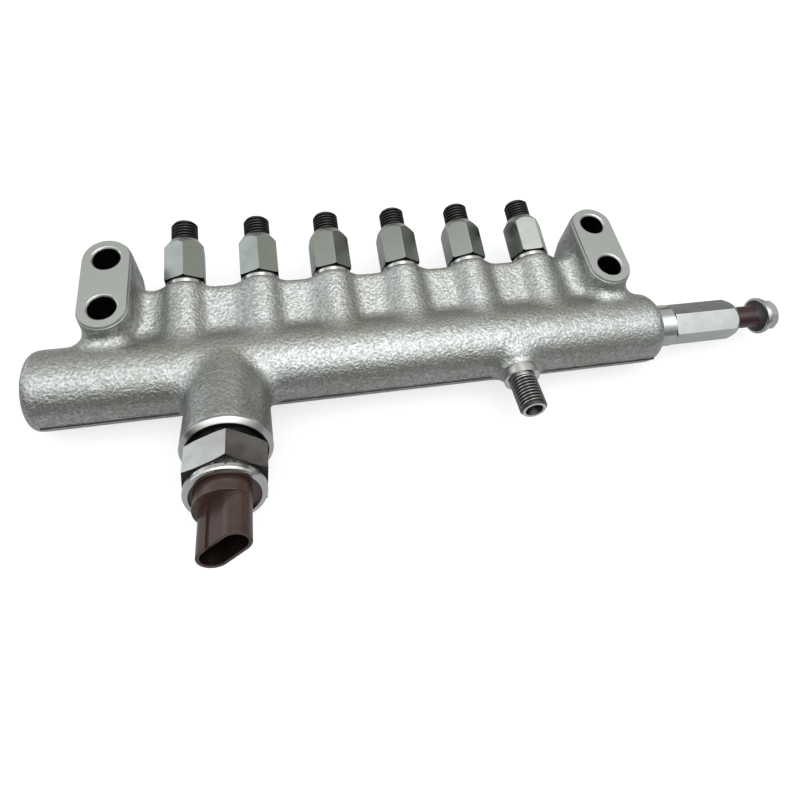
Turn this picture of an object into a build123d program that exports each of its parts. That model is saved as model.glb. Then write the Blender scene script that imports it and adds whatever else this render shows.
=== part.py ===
from build123d import *
import math
import os

# Common rail of a six cylinder diesel engine, in millimetres.
# Heights and gaps of what stands on the tube are measured from the tube's surface.
# X runs along the tube, Y towards the outlets, Z out of the machined pad faces.
# Pieces are modelled about the tube's axis, level with the first outlet. When they are written they
# move to the part's own origin: the middle of the four bolt holes, on the plane of the pads' feet.

# Rail tube
TUBE_R = 16.6
TUBE_LEFT = 60.0
TUBE_RIGHT = 50.5
LEFT_EDGE_R = 4.0
RIGHT_EDGE_R = 6.0
BORE_R = 5.2
END_WALL = 12.0
RIDGE_H = 0.4
RIDGE_W = 1.4
CUT_PAST = 1.0

# Outlets and the web that carries them
OUTLETS = 6
PITCH = 33.0
OUTLET_TILT = 7.5
BOSS_HEIGHT = 23.7
BOSS_R = 10.9
BOSS_ROOT_R = 12.2
BOSS_EDGE_R = 1.2
WEB_HALF = 6.5
WEB_SETBACK = 0.9
WEB_EDGE_R = 3.0
WEB_BLEND_R = 5.0
BOSS_BLEND_R = 4.0
PORT_THREAD_R = 7.0
PORT_DEPTH = 14.0
PORT_PASSAGE_R = 2.0

# Mounting pads
PAD_OFFSET = 30.0
PAD_HOLE_GAP = 7.4
PAD_HOLE_SPACING = 25.0
PAD_HOLE_R = 5.5
PAD_HOLE_CHAMFER = 0.7
PAD_RISE = 4.9
PAD_DROP = 0.4
PAD_R = 9.5
PAD_DRAFT = 1.0
PAD_FOOT_DRAFT = 7.0
PAD_LIP = 1.0
PAD_FACE = 1.5
PAD_BLEND_R = 2.5

# Sensor boss
SENSOR_X = 17.2
SENSOR_TILT = 21.0
SENSOR_BOSS_INSET = 0.4
SENSOR_BOSS_DRAFT = 1.0
SENSOR_BOSS_HEIGHT = 28.6
SENSOR_RIM = 1.7
SENSOR_RIM_LENGTH = 2.7
SENSOR_THREAD_R = 9.0
SENSOR_PORT_DEPTH = 15.0
SENSOR_PASSAGE_R = 2.5
SENSOR_BLEND_R = 5.0

# Inlet nipple
INLET_X = 142.8
INLET_TILT = 10.0
INLET_FLARE_R = 12.0
INLET_FLARE_SIDE = 2.03
INLET_SHOULDER_R = 8.0
INLET_RISE = 1.2
INLET_SHOULDER_LENGTH = 4.2
INLET_THREAD_R = 6.0
INLET_THREAD_LENGTH = 15.8
INLET_BORE_R = 1.6
NIPPLE_CONE_R = 3.9
NIPPLE_CONE_DEPTH = 4.0
NIPPLE_CHAMFER = 0.9
INLET_BLEND_R = 3.0

# Flow dampers, measured from the tube axis along each outlet
DAMPER_COLLAR_R = 8.6
DAMPER_COLLAR_LENGTH = 2.5
DAMPER_GROOVE = 0.7
DAMPER_GROOVE_DEPTH = 0.9
HEX_FLATS = 17.0
DAMPER_HEX_LENGTH = 21.1
DAMPER_THREAD_R = 6.0
DAMPER_THREAD_LENGTH = 10.1
DAMPER_HEX_FOOT_R = 9.4
DAMPER_HEX_TOP_R = 6.9
DAMPER_HEX_TURNS = (3.0, 1.0, 11.0, 8.0, 7.0, 25.0)
HEX_BEVEL = 33.0
HEX_CORNER_MARGIN = 0.1
CHAMBER_R = 4.0
CHAMBER_LENGTH = 28.0
STOP_THICKNESS = 3.0
STOP_HOLE_R = 1.7
DAMPER_OUT_R = 1.5
PISTON_CLEARANCE = 0.05
PISTON_SKIRT = 10.0
PISTON_NOSE_R = 1.9
PISTON_TRAVEL = 4.0
PISTON_SEAT_GAP = 0.1
PISTON_BORE_R = 1.0
PISTON_THROTTLE_R = 0.4
SPRING_WIRE_R = 0.6
SPRING_R = 2.95
SPRING_TURNS = 6.5
THREAD_GAP = 0.03
SHANK_TIP_GAP = 0.3
SEAT_CONE = 2.0

# Pressure sensor, measured from the tube axis along the sensor boss
SENSOR_FLANGE_R = 13.2
SENSOR_FLANGE_LENGTH = 3.0
SENSOR_HEX_LENGTH = 12.5
SENSOR_HEX_TURN = -6.0
SENSOR_HEX_FACE_MARGIN = 0.6
SKIRT_R = 14.5
SKIRT_LENGTH = 4.0
SKIRT_WALL = 1.0
SKIRT_GROOVE = 0.7
LIP = 1.1
LIP_IN = 1.0
LIP_ROUND = 0.35
SENSOR_CAVITY_R = 11.8
SENSOR_LEDGE = 5.5
SENSOR_FLOOR = 9.5
SENSOR_INNER_R = 1.5
PLUG_CLEARANCE = 0.1
STEM_R = 3.5
STEM_HEIGHT = 2.2
STEM_TOP = 0.5
BOARD_R = 11.4
BOARD_THICKNESS = 1.2
O_RING_WIRE_R = 0.85
O_RING_GROOVE = 2.2
COLLAR_R = 11.0
COLLAR_LENGTH = 6.5
SOCKET_LONG = 21.0
SOCKET_WIDE = 11.4
SOCKET_TURN = 40.0
SOCKET_END = 85.5
SOCKET_WALL = 1.3
SOCKET_DEPTH = 13.5
KEYWAY = 1.7
KEYWAY_DEPTH = 1.1
KEYWAY_OFFSET = 1.8
TERMINALS = 3
TERMINAL_PITCH = 4.6
TERMINAL_WIDTH = 2.2
TERMINAL_THICKNESS = 0.64
TERMINAL_REACH = 7.5

# Pressure limiter on the right end, measured from the tube's end face
LIMITER_THREAD_R = 8.0
LIMITER_PORT_DEPTH = 18.0
LIMITER_PASSAGE_R = 4.2
LIMITER_COLLAR_R = 10.0
LIMITER_COLLAR_LENGTH = 8.6
LIMITER_GROOVE = 0.9
LIMITER_GROOVE_DEPTH = 1.9
LIMITER_HEX_LENGTH = 34.6
LIMITER_HEX_FOOT_R = 9.5
LIMITER_HEX_TOP_R = 7.7
LIMITER_BORE_R = 5.0
LIMITER_SPRING_BORE_R = 4.4
LIMITER_CHAMBER_LENGTH = 39.0
LIMITER_SEAT_LENGTH = 6.0
LIMITER_SEAT_HOLE_R = 1.0
LIMITER_SEAT_MOUTH_R = 1.6
LIMITER_RETURN_R = 2.5
VALVE_NOSE_R = 3.4
VALVE_NOSE_LENGTH = 2.5
VALVE_GUIDE_LENGTH = 7.0
VALVE_FACE = 1.2
VALVE_BORE_R = 1.6
VALVE_PORT_R = 0.6
VALVE_TRAVEL = 1.2
LIMITER_SPRING_WIRE_R = 0.75
LIMITER_SPRING_R = 3.3
LIMITER_SPRING_TURNS = 9.0
ADJUSTER_LENGTH = 4.0
RETURN_THREAD_R = 4.0
RETURN_THREAD_DEPTH = 9.0

# Return port: bush, washer and bolt
BUSH_NECK_R = 5.4
BUSH_NECK_LENGTH = 11.2
BUSH_FLARE_LENGTH = 3.6
BUSH_FLANGE_R = 9.0
BUSH_FLANGE_LENGTH = 0.8
BUSH_CLEARANCE = 0.2
WASHER_R = 8.8
WASHER_THICKNESS = 1.2
BOLT_COLLAR_R = 8.2
BOLT_COLLAR_LENGTH = 1.0
BOLT_HEX_FLATS = 14.0
BOLT_HEX_LENGTH = 4.6
BOLT_HEX_TURN = 30.0
BOLT_HEX_FOOT_R = 8.1
BOLT_HEX_TOP_R = 6.8


def leaning_plane(x, side, tilt):
    """A frame on the tube axis whose Z leans up from Y by tilt degrees, on the side given as 1 or -1."""
    angle = math.radians(tilt)
    direction = (0, side * math.cos(angle), math.sin(angle))
    return Plane(origin=(x, 0, 0), x_dir=(1, 0, 0), z_dir=direction)


OUTLET_XS = [PITCH * number for number in range(OUTLETS)]
BOSS_END = TUBE_R + BOSS_HEIGHT
PAD_XS = (-PAD_OFFSET, OUTLET_XS[-1] + PAD_OFFSET)
PAD_HOLE_NEAR = TUBE_R + PAD_HOLE_GAP
PAD_TOP = TUBE_R + PAD_RISE
PAD_FOOT = TUBE_R + PAD_DROP
TUBE_END = OUTLET_XS[-1] + TUBE_RIGHT
SENSOR_BOSS_END = TUBE_R + SENSOR_BOSS_HEIGHT
SENSOR_BOSS_ROOT_R = TUBE_R - SENSOR_BOSS_INSET
SENSOR_BOSS_R = SENSOR_BOSS_ROOT_R + SENSOR_BOSS_DRAFT
INLET_FLARE_START = math.sqrt(TUBE_R ** 2 - INLET_FLARE_R ** 2) + INLET_FLARE_SIDE
INLET_SHOULDER_START = TUBE_R + INLET_RISE
INLET_SHOULDER_END = INLET_SHOULDER_START + INLET_SHOULDER_LENGTH
INLET_END = INLET_SHOULDER_END + INLET_THREAD_LENGTH
OUTLET_PLANES = [leaning_plane(x, 1, OUTLET_TILT) for x in OUTLET_XS]
SENSOR_PLANE = leaning_plane(SENSOR_X, -1, SENSOR_TILT)
INLET_PLANE = leaning_plane(INLET_X, -1, INLET_TILT)
LIMITER_PLANE = Plane(origin=(TUBE_END, 0, 0), x_dir=(0, 1, 0), z_dir=(1, 0, 0))
PATTERN_X = (PAD_XS[0] + PAD_XS[1]) / 2
PATTERN_Y = PAD_HOLE_NEAR + PAD_HOLE_SPACING / 2
PART_PLACE = Pos(-PATTERN_X, -PATTERN_Y, PAD_FOOT)


def turned(*points):
    """A body turned about Z from its half profile, given as (radius, height) points."""
    return revolve(Plane.XZ * make_face(Polyline(*points, close=True)), Axis.Z)


def rod(radius, start, end):
    """A plain cylinder along Z between two heights."""
    return Pos(0, 0, start) * extrude(Circle(radius), end - start)


def hexagon(flats, start, end, turn):
    """A hexagonal prism along Z with one corner turned by turn degrees from its Y axis."""
    outline = RegularPolygon(flats / 2, 6, major_radius=False, rotation=30 + turn)
    return Pos(0, 0, start) * extrude(outline, end - start)


def bevelled_hexagon(flats, start, end, turn, start_r, end_r):
    """A hexagonal prism whose ends are turned down to cones, to start_r and end_r."""
    corner_r = flats / math.sqrt(3) + HEX_CORNER_MARGIN
    slope = math.tan(math.radians(90 - HEX_BEVEL))
    start_cone = (corner_r - start_r) * slope
    end_cone = (corner_r - end_r) * slope
    cone = turned(
        (0, start),
        (start_r, start),
        (corner_r, start + start_cone),
        (corner_r, end - end_cone),
        (end_r, end),
        (0, end),
    )
    return hexagon(flats, start, end, turn) & cone


def spring(mean_r, wire_r, start, end, turns):
    """A compression spring with ground ends, standing between two heights."""
    length = end - start
    pitch = length / turns
    path = Helix(pitch, length + pitch, mean_r)
    wire = sweep(Plane(origin=path @ 0, z_dir=path % 0) * Circle(wire_r), path=path)
    coil = Pos(0, 0, start - pitch / 2) * wire
    return coil & rod(mean_r + 2 * wire_r, start, end)


def nipple_profile(thread_r, base, tip):
    """Half profile of a threaded nipple: full thread size, with a bevelled tip."""
    return (
        (0, base),
        (thread_r, base),
        (thread_r, tip - NIPPLE_CHAMFER),
        (thread_r - NIPPLE_CHAMFER, tip),
        (0, tip),
    )


def nipple_bore(bore_r, base, tip):
    """The bore of a nipple, opening in the cone that the pipe's end seals on."""
    return turned(
        (0, base),
        (bore_r, base),
        (bore_r, tip - NIPPLE_CONE_DEPTH),
        (NIPPLE_CONE_R, tip),
        (NIPPLE_CONE_R, tip + CUT_PAST),
        (0, tip + CUT_PAST),
    )


def threaded_port(thread_r, mouth, depth, passage_r, inner):
    """A tapped hole with a cone at its foot and a passage on to the height inner."""
    foot = mouth - depth
    return turned(
        (0, inner),
        (passage_r, inner),
        (passage_r, foot - SEAT_CONE),
        (thread_r, foot),
        (thread_r, mouth + CUT_PAST),
        (0, mouth + CUT_PAST),
    )


def tube():
    length = TUBE_LEFT + TUBE_END
    bar = Plane(origin=(-TUBE_LEFT, 0, 0), z_dir=(1, 0, 0)) * extrude(Circle(TUBE_R), length)
    rims = bar.edges().filter_by(GeomType.CIRCLE).sort_by(Axis.X)
    bar = fillet(rims[0], LEFT_EDGE_R)
    rims = bar.edges().filter_by(GeomType.CIRCLE).sort_by(Axis.X)
    return fillet(rims[-1], RIGHT_EDGE_R)


def web():
    """The plate between the outlet bosses, from pad to pad, spreading where it meets the tube."""
    reach = BOSS_END - WEB_SETBACK
    plate = Pos(reach / 2, 0) * Rectangle(reach, 2 * WEB_HALF)
    free_corners = plate.vertices().sort_by(Axis.X)[-2:]
    profile = Circle(TUBE_R) + fillet(free_corners, WEB_EDGE_R)
    roots = profile.vertices().filter_by_position(Axis.X, 0, TUBE_R)
    profile = fillet(roots, WEB_BLEND_R)
    section = Plane(origin=(PAD_XS[0], 0, 0), x_dir=OUTLET_PLANES[0].z_dir, z_dir=(1, 0, 0))
    return section * extrude(profile, PAD_XS[1] - PAD_XS[0])


def outlet_boss(plane):
    """A tapered forged boss with a small round at its face."""
    boss = turned((0, 0), (BOSS_ROOT_R, 0), (BOSS_R, BOSS_END), (0, BOSS_END))
    face_edge = boss.edges().filter_by(GeomType.CIRCLE).sort_by(Axis.Z)[-1]
    return plane.location * fillet(face_edge, BOSS_EDGE_R)


def pad_outline(radius):
    return Rot(0, 0, 90) * SlotCenterToCenter(PAD_HOLE_SPACING, 2 * radius)


def pad(x):
    """One mounting pad: drafted up and down from the parting plane, with a machined face."""
    wall = PAD_TOP - PAD_FACE
    root_r = PAD_R + PAD_LIP + wall * math.tan(math.radians(PAD_DRAFT))
    upper = extrude(pad_outline(root_r), wall, taper=PAD_DRAFT)
    lower = extrude(pad_outline(root_r), -PAD_FOOT, taper=PAD_FOOT_DRAFT)
    face = Pos(0, 0, wall) * extrude(pad_outline(PAD_R), PAD_FACE)
    return Pos(x, PATTERN_Y, 0) * (upper + lower + face)


def pad_holes():
    holes = Part()
    depth = PAD_TOP + PAD_FOOT
    for x in PAD_XS:
        for y in (PAD_HOLE_NEAR, PAD_HOLE_NEAR + PAD_HOLE_SPACING):
            hole = turned(
                (0, -CUT_PAST),
                (PAD_HOLE_R, -CUT_PAST),
                (PAD_HOLE_R, depth - PAD_HOLE_CHAMFER),
                (PAD_HOLE_R + PAD_HOLE_CHAMFER, depth),
                (PAD_HOLE_R + PAD_HOLE_CHAMFER, depth + CUT_PAST),
                (0, depth + CUT_PAST),
            )
            holes += Pos(x, y, -PAD_FOOT) * hole
    return holes


def sensor_boss():
    return SENSOR_PLANE.location * turned(
        (0, 0),
        (SENSOR_BOSS_ROOT_R, 0),
        (SENSOR_BOSS_R, SENSOR_BOSS_END - SENSOR_RIM_LENGTH),
        (SENSOR_BOSS_R - SENSOR_RIM, SENSOR_BOSS_END),
        (0, SENSOR_BOSS_END),
    )


def inlet_nipple():
    """The flared boss, its turned shoulder and the threaded end of the inlet."""
    shoulder = turned(
        (0, 0),
        (INLET_FLARE_R, 0),
        (INLET_FLARE_R, INLET_FLARE_START),
        (INLET_SHOULDER_R, INLET_SHOULDER_START),
        (INLET_SHOULDER_R, INLET_SHOULDER_END),
        (0, INLET_SHOULDER_END),
    )
    thread = turned(*nipple_profile(INLET_THREAD_R, INLET_SHOULDER_END, INLET_END))
    return INLET_PLANE.location * (shoulder + thread)


def parting_ridge():
    """The low line that the forging dies leave along the front of the tube."""
    length = TUBE_LEFT + TUBE_END - LEFT_EDGE_R - RIGHT_EDGE_R
    middle = (TUBE_END - TUBE_LEFT + LEFT_EDGE_R - RIGHT_EDGE_R) / 2
    return Pos(middle, -TUBE_R, 0) * Box(length, 2 * RIDGE_H, RIDGE_W)


def rail_drillings():
    main = Plane(origin=(-TUBE_LEFT + END_WALL, 0, 0), z_dir=(1, 0, 0)) * extrude(
        Circle(BORE_R), TUBE_LEFT + TUBE_END - END_WALL - LIMITER_PORT_DEPTH
    )
    drillings = Part() + main
    for plane in OUTLET_PLANES:
        port = threaded_port(PORT_THREAD_R, BOSS_END, PORT_DEPTH, PORT_PASSAGE_R, 0)
        drillings += plane.location * port
    sensor_port = threaded_port(
        SENSOR_THREAD_R, SENSOR_BOSS_END, SENSOR_PORT_DEPTH, SENSOR_PASSAGE_R, 0
    )
    drillings += SENSOR_PLANE.location * sensor_port
    drillings += INLET_PLANE.location * nipple_bore(INLET_BORE_R, 0, INLET_END)
    limiter_port = threaded_port(
        LIMITER_THREAD_R, 0, LIMITER_PORT_DEPTH, LIMITER_PASSAGE_R, -LIMITER_PORT_DEPTH - 2 * SEAT_CONE
    )
    drillings += LIMITER_PLANE.location * limiter_port
    return drillings


def blended(body, feature, radius):
    """A body with a feature joined on, and the forging's round all along their seam."""
    joined = body + feature
    return fillet(new_edges(body, feature, combined=joined), radius)


def rail_body():
    """The forging: tube, web, bosses, pads and nipple in one piece, then drilled."""
    forging = tube()
    for x in PAD_XS:
        forging = blended(forging, pad(x), PAD_BLEND_R)
    forging = blended(forging, sensor_boss(), SENSOR_BLEND_R)
    forging = blended(forging, inlet_nipple(), INLET_BLEND_R)
    forging += web()
    for plane in OUTLET_PLANES:
        forging = blended(forging, outlet_boss(plane), BOSS_BLEND_R)
    forging += parting_ridge()
    return forging - rail_drillings() - pad_holes()


DAMPER_COLLAR_TOP = BOSS_END + DAMPER_COLLAR_LENGTH
DAMPER_HEX_START = DAMPER_COLLAR_TOP + DAMPER_GROOVE
DAMPER_HEX_END = DAMPER_HEX_START + DAMPER_HEX_LENGTH
DAMPER_TIP = DAMPER_HEX_END + DAMPER_THREAD_LENGTH
SHANK_TIP = BOSS_END - PORT_DEPTH + SHANK_TIP_GAP
CHAMBER_START = SHANK_TIP + STOP_THICKNESS
CHAMBER_END = CHAMBER_START + CHAMBER_LENGTH


def damper_body(turn):
    """Screwed-in housing: shank, seating collar, hexagon and outlet thread."""
    shank = rod(PORT_THREAD_R - THREAD_GAP, SHANK_TIP, BOSS_END)
    collar = rod(DAMPER_COLLAR_R, BOSS_END, DAMPER_COLLAR_TOP)
    neck = rod(DAMPER_COLLAR_R - DAMPER_GROOVE_DEPTH, DAMPER_COLLAR_TOP, DAMPER_HEX_START)
    hexagonal = bevelled_hexagon(
        HEX_FLATS, DAMPER_HEX_START, DAMPER_HEX_END, turn, DAMPER_HEX_FOOT_R, DAMPER_HEX_TOP_R
    )
    thread = turned(*nipple_profile(DAMPER_THREAD_R, DAMPER_HEX_END, DAMPER_TIP))
    chamber = turned(
        (0, SHANK_TIP - CUT_PAST),
        (CHAMBER_R, SHANK_TIP - CUT_PAST),
        (CHAMBER_R, CHAMBER_END),
        (DAMPER_OUT_R, CHAMBER_END),
        (DAMPER_OUT_R, CHAMBER_END + CUT_PAST),
        (0, CHAMBER_END + CUT_PAST),
    )
    outlet = nipple_bore(DAMPER_OUT_R, CHAMBER_END, DAMPER_TIP)
    return shank + collar + neck + hexagonal + thread - chamber - outlet


def damper_stop():
    """Ring pressed into the shank's end, which the piston rests on."""
    ring = rod(CHAMBER_R - THREAD_GAP, SHANK_TIP, CHAMBER_START)
    return ring - rod(STOP_HOLE_R, SHANK_TIP - CUT_PAST, CHAMBER_START + CUT_PAST)


def damper_piston():
    """Piston with a throttle hole and a nose that closes the outlet at full travel."""
    shoulder = CHAMBER_START + PISTON_SKIRT
    nose = CHAMBER_END - PISTON_TRAVEL - PISTON_SEAT_GAP
    solid = turned(
        (0, CHAMBER_START),
        (CHAMBER_R - PISTON_CLEARANCE, CHAMBER_START),
        (CHAMBER_R - PISTON_CLEARANCE, shoulder),
        (PISTON_NOSE_R, shoulder),
        (PISTON_NOSE_R, nose - PISTON_NOSE_R / 2),
        (PISTON_NOSE_R / 2, nose),
        (0, nose),
    )
    bore = rod(PISTON_BORE_R, CHAMBER_START - CUT_PAST, shoulder + PISTON_NOSE_R)
    throttle_height = shoulder + PISTON_NOSE_R / 2
    throttle = Pos(0, 0, throttle_height) * Rot(0, 90, 0) * Cylinder(PISTON_THROTTLE_R, 2 * CHAMBER_R)
    return solid - bore - throttle


def damper_spring():
    return spring(SPRING_R, SPRING_WIRE_R, CHAMBER_START + PISTON_SKIRT, CHAMBER_END, SPRING_TURNS)


SENSOR_HEX_START = SENSOR_BOSS_END + SENSOR_FLANGE_LENGTH
SENSOR_HEX_END = SENSOR_HEX_START + SENSOR_HEX_LENGTH
SKIRT_END = SENSOR_HEX_END + SKIRT_LENGTH
SKIRT_BORE_R = SKIRT_R - SKIRT_WALL
LIP_FACE = SKIRT_END - LIP
LEDGE_HEIGHT = SENSOR_HEX_END - SENSOR_LEDGE
FLOOR_HEIGHT = SENSOR_HEX_END - SENSOR_FLOOR


def sensor_body():
    """Steel housing turned from hexagon bar as wide as its skirt, which is rolled over the plug."""
    shank_tip = SENSOR_BOSS_END - SENSOR_PORT_DEPTH + SHANK_TIP_GAP
    shank = rod(SENSOR_THREAD_R - THREAD_GAP, shank_tip, SENSOR_BOSS_END)
    flange = rod(SENSOR_FLANGE_R, SENSOR_BOSS_END, SENSOR_HEX_START)
    face_r = SKIRT_R + SENSOR_HEX_FACE_MARGIN
    hexagonal = bevelled_hexagon(
        2 * SKIRT_R, SENSOR_HEX_START, SENSOR_HEX_END, SENSOR_HEX_TURN, face_r, face_r
    )
    skirt = turned(
        (0, SENSOR_HEX_END),
        (SKIRT_R - SKIRT_GROOVE, SENSOR_HEX_END),
        (SKIRT_R - SKIRT_GROOVE, SENSOR_HEX_END + SKIRT_GROOVE),
        (SKIRT_R, SENSOR_HEX_END + 2 * SKIRT_GROOVE),
        (SKIRT_R, SKIRT_END - LIP),
        (SKIRT_R - LIP_ROUND, SKIRT_END - LIP_ROUND),
        (SKIRT_R - LIP, SKIRT_END),
        (0, SKIRT_END),
    )
    cavity = turned(
        (0, FLOOR_HEIGHT),
        (SENSOR_CAVITY_R, FLOOR_HEIGHT),
        (SENSOR_CAVITY_R, LEDGE_HEIGHT),
        (SKIRT_BORE_R, LEDGE_HEIGHT),
        (SKIRT_BORE_R, LIP_FACE),
        (SKIRT_BORE_R - LIP_IN, LIP_FACE),
        (SKIRT_BORE_R - LIP_IN, SKIRT_END + CUT_PAST),
        (0, SKIRT_END + CUT_PAST),
    )
    passage = rod(SENSOR_INNER_R, shank_tip - CUT_PAST, FLOOR_HEIGHT + CUT_PAST)
    return shank + flange + hexagonal + skirt - cavity - passage


def sensor_stem():
    """Thin-topped steel cell that bends with the rail's pressure."""
    cell = rod(STEM_R, FLOOR_HEIGHT, FLOOR_HEIGHT + STEM_HEIGHT)
    return cell - rod(SENSOR_INNER_R, FLOOR_HEIGHT - CUT_PAST, FLOOR_HEIGHT + STEM_HEIGHT - STEM_TOP)


def sensor_board():
    return rod(BOARD_R, LEDGE_HEIGHT - BOARD_THICKNESS, LEDGE_HEIGHT)


O_RING_HEIGHT = (LEDGE_HEIGHT + LIP_FACE) / 2
O_RING_R = SKIRT_BORE_R - O_RING_WIRE_R - PLUG_CLEARANCE / 2


def sensor_o_ring():
    return Pos(0, 0, O_RING_HEIGHT) * Torus(O_RING_R, O_RING_WIRE_R)


def socket_outline(margin):
    """The plug's oval outline, smaller by margin all round, turned about the sensor's axis."""
    return Rot(0, 0, SOCKET_TURN) * SlotOverall(SOCKET_LONG - 2 * margin, SOCKET_WIDE - 2 * margin)


def sensor_plug():
    """Moulded plug: clamped disc with a seal groove, half collar and oval socket."""
    disc_r = SKIRT_BORE_R - PLUG_CLEARANCE
    disc = rod(disc_r, LEDGE_HEIGHT, LIP_FACE)
    groove_r = O_RING_R - O_RING_WIRE_R - PLUG_CLEARANCE / 2
    groove = rod(disc_r + CUT_PAST, O_RING_HEIGHT - O_RING_GROOVE / 2, O_RING_HEIGHT + O_RING_GROOVE / 2)
    groove -= rod(groove_r, O_RING_HEIGHT - O_RING_GROOVE, O_RING_HEIGHT + O_RING_GROOVE)
    column = Pos(0, 0, LIP_FACE) * extrude(socket_outline(0), SOCKET_END - LIP_FACE)
    collar = rod(COLLAR_R, LIP_FACE, LIP_FACE + COLLAR_LENGTH)
    half = Rot(0, 0, SOCKET_TURN) * Pos(0, -COLLAR_R, 0) * Box(4 * COLLAR_R, 2 * COLLAR_R, 4 * SOCKET_END)
    socket = extrude(socket_outline(SOCKET_WALL), SOCKET_DEPTH + CUT_PAST)
    socket = Pos(0, 0, SOCKET_END - SOCKET_DEPTH) * socket
    keyway_start = LIP_FACE + COLLAR_LENGTH
    keyway = Box(KEYWAY, 2 * KEYWAY_DEPTH, SOCKET_END, align=(Align.CENTER, Align.CENTER, Align.MIN))
    keyway = Rot(0, 0, SOCKET_TURN) * Pos(-KEYWAY_OFFSET, SOCKET_WIDE / 2, keyway_start) * keyway
    return disc - groove + column + (collar - half) - keyway - socket


def sensor_terminals():
    """Flat pins standing in a row on the socket's floor."""
    floor = SOCKET_END - SOCKET_DEPTH
    blade = Box(
        TERMINAL_WIDTH, TERMINAL_THICKNESS, TERMINAL_REACH, align=(Align.CENTER, Align.CENTER, Align.MIN)
    )
    pins = []
    for number in range(TERMINALS):
        place = (number - (TERMINALS - 1) / 2) * TERMINAL_PITCH
        pins.append(Rot(0, 0, SOCKET_TURN) * Pos(place, 0, floor) * blade)
    return pins


LIMITER_HEX_START = LIMITER_COLLAR_LENGTH + LIMITER_GROOVE
LIMITER_HEX_END = LIMITER_HEX_START + LIMITER_HEX_LENGTH
LIMITER_TIP = -LIMITER_PORT_DEPTH + SHANK_TIP_GAP
LIMITER_CHAMBER_END = LIMITER_TIP + LIMITER_CHAMBER_LENGTH
SEAT_TOP = LIMITER_TIP + LIMITER_SEAT_LENGTH
VALVE_BACK = SEAT_TOP + VALVE_NOSE_LENGTH + VALVE_GUIDE_LENGTH
VALVE_STEP = VALVE_BACK + VALVE_TRAVEL + PISTON_SEAT_GAP
ADJUSTER_START = LIMITER_CHAMBER_END - ADJUSTER_LENGTH


def limiter_body():
    """Limiter housing: threaded shank, collar, long hexagon and tapped return port."""
    shank = rod(LIMITER_THREAD_R - THREAD_GAP, LIMITER_TIP, 0)
    collar = rod(LIMITER_COLLAR_R, 0, LIMITER_COLLAR_LENGTH)
    neck = rod(LIMITER_COLLAR_R - LIMITER_GROOVE_DEPTH, LIMITER_COLLAR_LENGTH, LIMITER_HEX_START)
    hexagonal = bevelled_hexagon(
        HEX_FLATS, LIMITER_HEX_START, LIMITER_HEX_END, 0, LIMITER_HEX_FOOT_R, LIMITER_HEX_TOP_R
    )
    valve_bore = rod(LIMITER_BORE_R, LIMITER_TIP - CUT_PAST, VALVE_STEP)
    spring_bore = rod(LIMITER_SPRING_BORE_R, VALVE_STEP - CUT_PAST, LIMITER_CHAMBER_END)
    return_port = rod(LIMITER_RETURN_R, LIMITER_CHAMBER_END - CUT_PAST, LIMITER_HEX_END)
    return_thread = rod(RETURN_THREAD_R, LIMITER_HEX_END - RETURN_THREAD_DEPTH, LIMITER_HEX_END + CUT_PAST)
    body = shank + collar + neck + hexagonal
    return body - valve_bore - spring_bore - return_port - return_thread


def limiter_seat():
    """Hardened seat at the rail side, with the small hole that the valve closes."""
    block = rod(LIMITER_BORE_R - THREAD_GAP, LIMITER_TIP, SEAT_TOP)
    mouth = turned(
        (0, SEAT_TOP - LIMITER_SEAT_MOUTH_R),
        (LIMITER_SEAT_MOUTH_R, SEAT_TOP),
        (LIMITER_SEAT_MOUTH_R, SEAT_TOP + CUT_PAST),
        (0, SEAT_TOP + CUT_PAST),
    )
    return block - rod(LIMITER_SEAT_HOLE_R, LIMITER_TIP - CUT_PAST, SEAT_TOP) - mouth


def limiter_valve():
    """Hollow valve: a nose on the seat, ports behind it and a guide that slides in the bore."""
    guide_start = SEAT_TOP + VALVE_NOSE_LENGTH
    solid = turned(
        (0, SEAT_TOP),
        (VALVE_NOSE_R, SEAT_TOP),
        (VALVE_NOSE_R, guide_start),
        (LIMITER_BORE_R - PISTON_CLEARANCE, guide_start),
        (LIMITER_BORE_R - PISTON_CLEARANCE, VALVE_BACK),
        (0, VALVE_BACK),
    )
    bore = rod(VALVE_BORE_R, SEAT_TOP + VALVE_FACE, VALVE_BACK + CUT_PAST)
    port_height = SEAT_TOP + VALVE_FACE + VALVE_PORT_R
    port = Pos(0, 0, port_height) * Rot(0, 90, 0) * Cylinder(VALVE_PORT_R, 2 * LIMITER_BORE_R)
    return solid - bore - port


def limiter_spring():
    return spring(
        LIMITER_SPRING_R, LIMITER_SPRING_WIRE_R, VALVE_BACK, ADJUSTER_START, LIMITER_SPRING_TURNS
    )


def limiter_adjuster():
    """Drilled screw that sets the opening pressure."""
    screw = rod(LIMITER_SPRING_BORE_R - THREAD_GAP, ADJUSTER_START, LIMITER_CHAMBER_END)
    return screw - rod(LIMITER_RETURN_R, ADJUSTER_START - CUT_PAST, LIMITER_CHAMBER_END + CUT_PAST)


BUSH_FLANGE_START = LIMITER_HEX_END + BUSH_NECK_LENGTH + BUSH_FLARE_LENGTH
BUSH_END = BUSH_FLANGE_START + BUSH_FLANGE_LENGTH
WASHER_END = BUSH_END + WASHER_THICKNESS
BOLT_HEX_START = WASHER_END + BOLT_COLLAR_LENGTH
BOLT_END = BOLT_HEX_START + BOLT_HEX_LENGTH


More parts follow.
